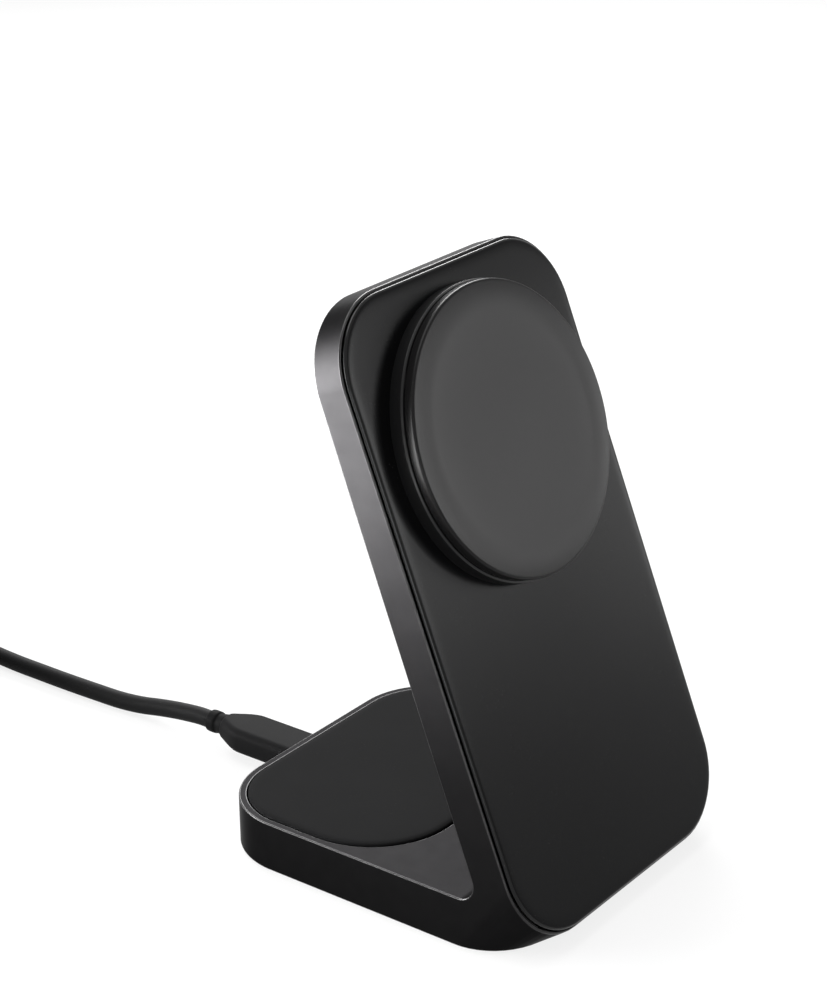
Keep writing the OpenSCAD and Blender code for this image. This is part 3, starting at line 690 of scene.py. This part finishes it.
class STAND_OT_cord(bpy.types.Operator):
    """Cord with its plugs, wound and tied behind the stand"""

    bl_idname = "stand.cord"
    bl_label = "Cord and plugs"

    def execute(self, context):
        sheath = finish(
            "cord_sheath", colours().cord, 0.6, spread=0.16, grains=6000.0, bump=0.25,
            depth=0.00003, dust=0.1, specular_ior_level=0.06,
        )
        plastic = finish(
            "plug_plastic", colours().plug, 0.55, spread=0.14, grains=8000.0, bump=0.25,
            depth=0.00003, dust=0.05, specular_ior_level=0.02,
        )
        metal = finish(
            "plug_metal", (0.55, 0.54, 0.53), 0.28, metallic=1.0, spread=0.08, grains=4000.0,
            bump=0.1, worn=(0.7, 0.7, 0.7), wear=0.4,
        )
        fluff = finish(
            "strap_cloth", (0.010, 0.010, 0.0105), 0.85, spread=0.5, grains=5000.0, bump=0.8,
            depth=0.0002, height=hooked_height, specular_ior_level=0.1, sheen_weight=0.03,
        )
        route = cord_route()
        cord = smooth_curve("cord", route, sizes().cord_diameter / 2 / MM, sheath)
        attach(cord, "root")
        body, relief, shell = plug_pieces("lead_plug", near_plug, plastic, metal)
        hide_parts("plug_body")
        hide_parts("plug_relief")
        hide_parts("plug_shell")
        far = plug_pieces("spare_plug", far_plug, plastic, metal)
        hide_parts("far_plug_body")
        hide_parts("far_plug_relief")
        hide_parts("far_plug_shell")
        strap = mesh_piece("cord_strap", *strap_shape(), fluff, "strap", sharp=60)
        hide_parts("cable_tie")
        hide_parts("cable", "cable_coil", "cable_tail")
        return {"FINISHED"}


def strap_shape():
    """Band round the winding, as wide as the CAD's, with its edges cut."""
    near = COIL_RADII[0] - CORD_D / 2 - 0.7
    far = COIL_RADII[2] + CORD_D / 2 + 0.05
    low, high = COIL_LOW, COIL_LOW + 3 * CORD_D
    thick, half, cut = COIL_LOW, 4.5, 0.15
    bend = 1.0
    a = math.radians(STRAP_ANGLE)
    out = Vector((math.cos(a), math.sin(a), 0.0))
    across = Vector((-math.sin(a), math.cos(a), 0.0))

    def loop(grow):
        points = []
        r = bend + grow
        corners = [
            (far - bend, low + bend, -90), (far - bend, high - bend, 0),
            (near + bend, high - bend, 90), (near + bend, low + bend, 180),
        ]
        for x, z, start in corners:
            for i in range(7):
                b = math.radians(start + 15 * i)
                points.append((x + r * math.cos(b), z + r * math.sin(b)))
        return points

    inner, outer = loop(0.0), loop(thick)
    rings = []
    for (x0, z0), (x1, z1) in zip(inner, outer):
        ring = []
        for s, t in (
            (-half, 0.0), (-half, thick - cut), (cut - half, thick), (half - cut, thick),
            (half, thick - cut), (half, 0.0),
        ):
            f = t / thick
            x, z = x0 + (x1 - x0) * f, z0 + (z1 - z0) * f
            ring.append(COIL_CENTRE + out * x + across * s + Vector((0, 0, z)))
        rings.append(ring)
    return loft(rings, closed=True)


class STAND_OT_camera(bpy.types.Operator):
    """Camera at the photograph's place"""

    bl_idname = "stand.camera"
    bl_label = "Camera"

    def execute(self, context):
        data = bpy.data.cameras.new("camera")
        data.lens = 90.94
        data.sensor_width = 36.0
        data.sensor_fit = "AUTO"
        data.clip_start = 0.01
        camera = bpy.data.objects.new("camera", data)
        right = Vector((0.60291966, -0.79774635, -0.00941494))
        up = Vector((0.31670577, 0.22849472, 0.92059091))
        back = Vector((-0.73224677, -0.55802412, 0.39041483))
        place = Matrix((right, up, back)).transposed().to_4x4()
        place.translation = Vector((-0.3545725, -0.2574614, 0.2584089))
        camera.matrix_world = place
        bpy.context.scene.collection.objects.link(camera)
        bpy.context.scene.camera = camera
        return {"FINISHED"}


# Metal frame


class STAND_OT_frame(bpy.types.Operator):
    """Folded metal frame: its own solid with fine bevelled edges"""

    bl_idname = "stand.frame"
    bl_label = "Folded metal frame"

    def execute(self, context):
        metal = finish(
            "anodised_metal", colours().metal, 0.4, metallic=1.0, spread=0.12,
            rough_spread=0.05, grains=7000.0, bump=0.3, depth=0.00003,
            worn=(0.03, 0.03, 0.03), wear=0.3, dust=0.02, specular_tint=(0.5, 0.5, 0.5, 1.0),
        )
        cut = finish(
            "cut_edge_metal", colours().edge, 0.3, metallic=1.0, spread=0.15, rough_spread=0.08,
            grains=5000.0, bump=0.1, worn=(0.2, 0.2, 0.2), wear=0.3,
        )
        paint("frame", metal)
        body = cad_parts["frame"]
        body.data.materials.append(cut)
        weld = body.modifiers.new("joined_faces", "WELD")
        weld.merge_threshold = 0.000002
        flat = body.modifiers.new("flat_faces", "DECIMATE")
        flat.decimate_type = "DISSOLVE"
        flat.angle_limit = math.radians(0.2)
        edge = body.modifiers.new("bright_edges", "BEVEL")
        edge.width = sizes().metal_edge
        edge.segments = 2
        edge.limit_method = "ANGLE"
        edge.angle_limit = math.radians(35)
        edge.use_clamp_overlap = False
        edge.material = 1
        even = body.modifiers.new("even_shading", "WEIGHTED_NORMAL")
        even.keep_sharp = False
        even.weight = 60
        return {"FINISHED"}


# Panel and phone charger


def on_disc(x, y, h):
    """Point about the charging disc's axis, h in front of the rim."""
    return on_back(x, DISC_U + y, h)


class STAND_OT_panel(bpy.types.Operator):
    """Glossy panel with softened edges"""

    bl_idname = "stand.panel"
    bl_label = "Glossy panel"

    def execute(self, context):
        gloss = finish(
            "panel_gloss", colours().panel, 0.26, spread=0.15, rough_spread=0.04, grains=3000.0,
            patches=25.0, bump=0.02, depth=0.00001, dust=0.1, specular_ior_level=0.055,
        )
        polish = finish(
            "panel_edge_polish", colours().panel, 0.2, spread=0.1, rough_spread=0.03,
            grains=3000.0, patches=25.0, bump=0.02, depth=0.00001, specular_ior_level=0.2,
        )
        inset = sizes().panel_inset / MM
        seat = POCKET_INSET - inset
        edge = [
            (seat + 0.2, -0.7), (seat, -0.6), (seat, 0.08), (seat - 0.06, 0.24), (0.05, 0.26),
            (0.0, 0.31), (0.01, 0.4), (0.05, 0.5), (0.13, 0.6), (0.25, 0.69), (0.42, 0.76),
            (0.65, 0.81), (0.9, 0.845), (1.2, 0.87), (1.7, 0.89), (2.2, 0.9), (3.2, 0.9),
        ]
        shape = softened_plate(
            on_back, FRAME_W - 2 * inset, PANEL_START, BACK_LEN - inset, PANEL_CORNER,
            PANEL_CORNER, edge,
        )
        panel = mesh_piece("panel", *shape, gloss, "panel", sharp=45)
        panel.data.materials.append(polish)
        around = len(rounded_outline(FRAME_W, 0, BACK_LEN, PANEL_CORNER, PANEL_CORNER, 0))
        lip, shoulder = 4, 9
        for face in panel.data.polygons:
            if lip <= face.index // around <= shoulder:
                face.material_index = 1
        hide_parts("front_panel")
        return {"FINISHED"}


class STAND_OT_phone_charger(bpy.types.Operator):
    """Housing ring and dished charging disc"""

    bl_idname = "stand.phone_charger"
    bl_label = "Phone charger"

    def execute(self, context):
        plastic = finish(
            "housing_plastic", colours().housing, 0.35, spread=0.14, grains=6000.0, bump=0.15,
            worn=(0.05, 0.05, 0.05), wear=0.35, dust=0.08, specular_ior_level=0.2,
        )
        soft = finish(
            "disc_soft_face", colours().disc, 0.30, spread=0.14, rough_spread=0.08,
            grains=9000.0, bump=0.22, depth=0.00002, dust=0.05, specular_ior_level=0.08,
        )
        radius = sizes().disc_radius / MM
        out = radius + 0.4
        wall_in = radius - 1.1
        hole, boss, lip = 6.0, 15.0, 3.8
        housing = softened(
            [
                (hole, -0.8), (boss, -0.8), (boss, 0.9), (out, 0.9), (out, lip - 0.3),
                (out - 0.3, lip), (wall_in, lip), (wall_in, 1.7), (hole, 1.7),
            ],
            {4: 0.15, 5: 0.15, 6: 0.15},
        )
        ring = mesh_piece(
            "charger_housing", *turned(on_disc, housing), plastic, "charger_housing", sharp=50
        )
        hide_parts("puck_housing")
        skirt = wall_in - 0.2
        dish = radius - 4.5
        top, dip = 6.1, 0.6
        disc = softened(
            [
                (0.0, 4.6), (skirt - 0.9, 4.6), (skirt - 0.9, 2.0), (skirt, 2.0), (skirt, 4.1),
                (radius, 4.1), (radius, top), (dish, top),
            ],
            {5: 0.12, 6: sizes().disc_round / MM},
        )
        bowl = [k / 20 for k in range(19, -1, -1)]
        disc += [(dish * t, top - dip + dip * t ** 3) for t in bowl]
        face = mesh_piece(
            "charger_disc", *turned(on_disc, disc), soft, "charger_face", sharp=50
        )
        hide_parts("disc_face")
        return {"FINISHED"}


class STAND_OT_base_pad(bpy.types.Operator):
    """Soft pad let into the base"""

    bl_idname = "stand.base_pad"
    bl_label = "Base pad"

    def execute(self, context):
        soft = finish(
            "pad_soft_rubber", colours().pad, 0.7, spread=0.16, grains=8000.0, bump=0.3,
            depth=0.00003, dust=0.08, specular_ior_level=0.02,
        )
        inset = sizes().pad_inset / MM
        top = BASE_T + PAD_STANDS
        edge = [
            (0.2, BASE_T - 1), (0.0, BASE_T - 0.9), (0.0, top - 0.42), (0.05, top - 0.33),
            (0.15, top - 0.24), (0.3, top - 0.18), (0.75, top - 0.06), (1.1, top - 0.02),
            (1.5, top), (2.4, top),
        ]
        shape = softened_plate(
            on_base, FRAME_W - 2 * inset, PAD_START, BASE_LEN - inset, PAD_FRONT_CORNER,
            BASE_CORNER - inset, edge,
        )
        pad = mesh_piece("base_pad_top", *shape, soft, "pad_rubber", sharp=45)
        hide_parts("base_pad")
        return {"FINISHED"}


# Underside and inner parts


def board_shape():
    """Base's circuit board with round rear corners, a notch for the port, and its parts."""
    start, end, low, top = 57.4, 75.2, 2.6, 3.4
    outline = rounded_outline(FRAME_W - 10, start, end, 1.0, 14.0, 0.0)
    half = len(outline) // 2
    notch_w, notch_y = 4.7, 70.65
    notch = [(notch_w, end), (notch_w, notch_y), (-notch_w, notch_y), (-notch_w, end)]
    outline = outline[:half] + notch + outline[half:]
    points, faces = loft([[on_base(x, y, z) for x, y in outline] for z in (low, top)])
    # Across, behind the board's front edge, width, depth and height of each part
    parts = [
        (-19, 7.5, 7, 7, 2.6), (-10, 4, 5, 5, 1), (12, 8, 6, 6, 2.2), (20, 4, 4, 3, 1.6),
        (0, 3.9, 10, 3, 1.6),
    ]
    for x, y, wide, deep, high in parts:
        y0, y1 = start + y - deep / 2, start + y + deep / 2
        rings = [
            [on_base(x + a, b, z) for a, b in rounded_outline(wide, y0, y1, 0.3, 0.3, cut, 2)]
            for cut, z in ((0, top - 0.1), (0, top + high - 0.15), (0.15, top + high))
        ]
        more, skin = loft(rings)
        faces += [tuple(k + len(points) for k in face) for face in skin]
        points += more
    return points, faces


class STAND_OT_underside(bpy.types.Operator):
    """Finishes of the bottom cover, rubber foot, screws and port"""

    bl_idname = "stand.underside"
    bl_label = "Underside and port"

    def execute(self, context):
        paint("bottom_cover", finish(
            "cover_plastic", (0.012, 0.012, 0.0125), 0.5, spread=0.15, grains=5000.0, bump=0.4,
            depth=0.00004, dust=0.1, specular_ior_level=0.25,
        ))
        paint("foot_pad", finish(
            "foot_rubber", (0.012, 0.012, 0.012), 0.8, spread=0.2, grains=4000.0, bump=0.5,
            depth=0.00005, dust=0.6, specular_ior_level=0.3,
        ))
        steel = finish(
            "screw_steel", (0.32, 0.32, 0.33), 0.35, metallic=1.0, spread=0.1, grains=3000.0,
            bump=0.1, worn=(0.5, 0.5, 0.5), wear=0.4,
        )
        for node in ("cover_screws", "inner_screws", "puck_screws"):
            paint(node, steel)
        paint("usb_socket", finish(
            "socket_steel", (0.5, 0.5, 0.5), 0.25, metallic=1.0, spread=0.08, grains=3000.0,
            bump=0.05, worn=(0.7, 0.7, 0.7), wear=0.3,
        ))
        paint("socket_tongue", finish(
            "tongue_plastic", (0.01, 0.01, 0.01), 0.4, spread=0.1, grains=5000.0, bump=0.1,
        ))
        return {"FINISHED"}


class STAND_OT_inner_parts(bpy.types.Operator):
    """Finishes of the coils, magnets, boards and ballast inside"""

    bl_idname = "stand.inner_parts"
    bl_label = "Inner parts"

    def execute(self, context):
        middle = {
            node: sum(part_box(node), Vector()) / 2 for node in ("phone_coil", "pad_coil")
        }
        for node, centre in middle.items():
            paint(node, finish(
                node + "_wire", (0.55, 0.2, 0.07), 0.35, metallic=1.0, spread=0.2,
                grains=2500.0, bump=0.9, depth=0.0002, height=wound_height(centre),
            ))
        ferrite = finish(
            "ferrite", (0.03, 0.032, 0.035), 0.6, spread=0.3, grains=3000.0, bump=0.4,
            worn=(0.08, 0.08, 0.08), wear=0.3,
        )
        paint("phone_ferrite", ferrite)
        paint("pad_ferrite", ferrite)
        paint("magnet_ring", finish(
            "magnet", (0.6, 0.6, 0.6), 0.22, metallic=1.0, spread=0.08, grains=2500.0,
            bump=0.08, worn=(0.8, 0.8, 0.8), wear=0.4,
        ))
        board = finish(
            "circuit_board", (0.01, 0.07, 0.03), 0.4, spread=0.35, grains=900.0, patches=220.0,
            bump=0.3, specular_ior_level=0.5,
        )
        paint("puck_board", board)
        circuit = mesh_piece("base_circuit_board", *board_shape(), board, "circuit_board")
        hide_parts("main_board")
        black = finish(
            "black_plastic", (0.012, 0.012, 0.012), 0.45, spread=0.15, grains=5000.0, bump=0.3,
            dust=0.1,
        )
        paint("lead_ribbon", black)
        paint("coil_tray", black)
        paint("panel_gasket", finish(
            "gasket_foam", (0.015, 0.015, 0.015), 0.85, spread=0.3, grains=3500.0, bump=0.7,
            depth=0.00008,
        ))
        paint("ballast_plate", finish(
            "ballast_steel", (0.4, 0.4, 0.41), 0.4, metallic=1.0, spread=0.15, grains=1800.0,
            bump=0.2, worn=(0.6, 0.6, 0.6), wear=0.4,
        ))
        return {"FINISHED"}


# Stage


def area_lamp(name, place, aim, wide, high, power, fan=180):
    """Soft rectangular lamp; fan is the angle in degrees over which it sends its light."""
    data = bpy.data.lights.new(name, "AREA")
    data.shape = "RECTANGLE"
    data.size, data.size_y = wide, high
    data.energy = power
    data.spread = math.radians(fan)
    lamp = bpy.data.objects.new(name, data)
    lamp.location = Vector(place)
    way = Vector(aim) - Vector(place)
    lamp.rotation_euler = way.to_track_quat("-Z", "Y").to_euler()
    lamp.visible_camera = False
    bpy.context.scene.collection.objects.link(lamp)


def shown_white(tree):
    """1 for rays that see the backdrop: straight, mirrored or through glass."""
    path = tree.nodes.new("ShaderNodeLightPath")
    some = calc(
        tree, "MAXIMUM", path.outputs["Is Camera Ray"], path.outputs["Is Glossy Ray"]
    )
    return calc(tree, "MAXIMUM", some, path.outputs["Is Transmission Ray"])


class STAND_OT_stage(bpy.types.Operator):
    """Plain pale floor, white surroundings and soft lamps"""

    bl_idname = "stand.stage"
    bl_label = "Floor and lamps"

    def execute(self, context):
        reach = 6.0
        mesh = bpy.data.meshes.new("floor")
        mesh.from_pydata(
            [(-reach, -reach, 0), (reach, -reach, 0), (reach, reach, 0), (-reach, reach, 0)],
            [], [(0, 1, 2, 3)],
        )
        floor = bpy.data.objects.new("floor", mesh)
        bpy.context.scene.collection.objects.link(floor)
        material = bpy.data.materials.new("floor_paper")
        material.use_nodes = True
        tree = material.node_tree
        shader = tree.nodes["Principled BSDF"]
        shader.inputs["Base Color"].default_value = rgba(colours().floor)
        shader.inputs["Roughness"].default_value = 0.9
        shader.inputs["Specular IOR Level"].default_value = 0.2
        white = (1.0, 1.0, 1.0, 1.0)
        glow = add(tree, "ShaderNodeEmission", _0=white, _1=1.0)
        glow_share = 0.8
        share = calc(tree, "MULTIPLY", shown_white(tree), glow_share)
        mix = add(
            tree, "ShaderNodeMixShader", {}, {0: share, 1: shader.outputs[0], 2: glow.outputs[0]}
        )
        tree.links.new(mix.outputs[0], tree.nodes["Material Output"].inputs["Surface"])
        mesh.materials.append(material)

        world = bpy.data.worlds.new("surroundings")
        bpy.context.scene.world = world
        world.use_nodes = True
        tree = world.node_tree
        back = tree.nodes["Background"]
        ambient = 0.45
        strength = calc(tree, "MULTIPLY_ADD", shown_white(tree), 1.0 - ambient, ambient)
        tree.links.new(strength, back.inputs["Strength"])
        back.inputs["Color"].default_value = white

        area_lamp(
            "side_softbox", (-0.112, 0.120, 0.110), (-0.034, 0.0, 0.135), 0.18, 0.18, 1.6, fan=75
        )
        area_lamp("top_softbox", (-0.05, 0.25, 0.80), (0.0, 0.0, 0.05), 0.50, 0.50, 4.0)
        area_lamp("rear_softbox", (0.45, 0.42, 0.40), (0.0, 0.02, 0.0), 0.40, 0.30, 6.0)
        area_lamp("right_softbox", (0.80, -0.48, 0.10), (0.0, -0.01, 0.08), 0.22, 0.18, 1.1)
        area_lamp("front_softbox", (0.47, -0.64, 0.23), (0.0, -0.01, 0.09), 0.22, 0.22, 2.4)
        area_lamp("left_softbox", (-0.60, -0.66, 0.18), (0.0, 0.0, 0.08), 0.25, 0.25, 2.2)

        bpy.context.scene.view_settings.view_transform = "Standard"
        return {"FINISHED"}


# Panel in the sidebar and registration

OPERATORS = (
    STAND_OT_camera, STAND_OT_cord, STAND_OT_frame, STAND_OT_panel, STAND_OT_phone_charger,
    STAND_OT_base_pad, STAND_OT_underside, STAND_OT_inner_parts, STAND_OT_stage,
)


class STAND_PT_panel(bpy.types.Panel):
    """Sizes, colours and pieces of the charging stand"""

    bl_idname = "STAND_PT_panel"
    bl_label = "Charging stand"
    bl_space_type = "VIEW_3D"
    bl_region_type = "UI"
    bl_category = "Charging stand"

    def draw(self, context):
        for group in (context.scene.stand_sizes, context.scene.stand_colours):
            column = self.layout.column()
            for name in group.__annotations__:
                column.prop(group, name)
        for operator in OPERATORS:
            self.layout.operator(operator.bl_idname)


CLASSES = (StandSizes, StandColours, *OPERATORS, STAND_PT_panel)


def register():
    for cls in CLASSES:
        bpy.utils.register_class(cls)
    bpy.types.Scene.stand_sizes = bpy.props.PointerProperty(type=StandSizes)
    bpy.types.Scene.stand_colours = bpy.props.PointerProperty(type=StandColours)


def unregister():
    del bpy.types.Scene.stand_colours
    del bpy.types.Scene.stand_sizes
    for cls in reversed(CLASSES):
        bpy.utils.unregister_class(cls)


def main():
    register()
    bpy.ops.stand.camera()
    bpy.ops.stand.cord()
    bpy.ops.stand.frame()
    bpy.ops.stand.panel()
    bpy.ops.stand.phone_charger()
    bpy.ops.stand.base_pad()
    bpy.ops.stand.underside()
    bpy.ops.stand.inner_parts()
    bpy.ops.stand.stage()


if __name__ == "__main__":
    main()
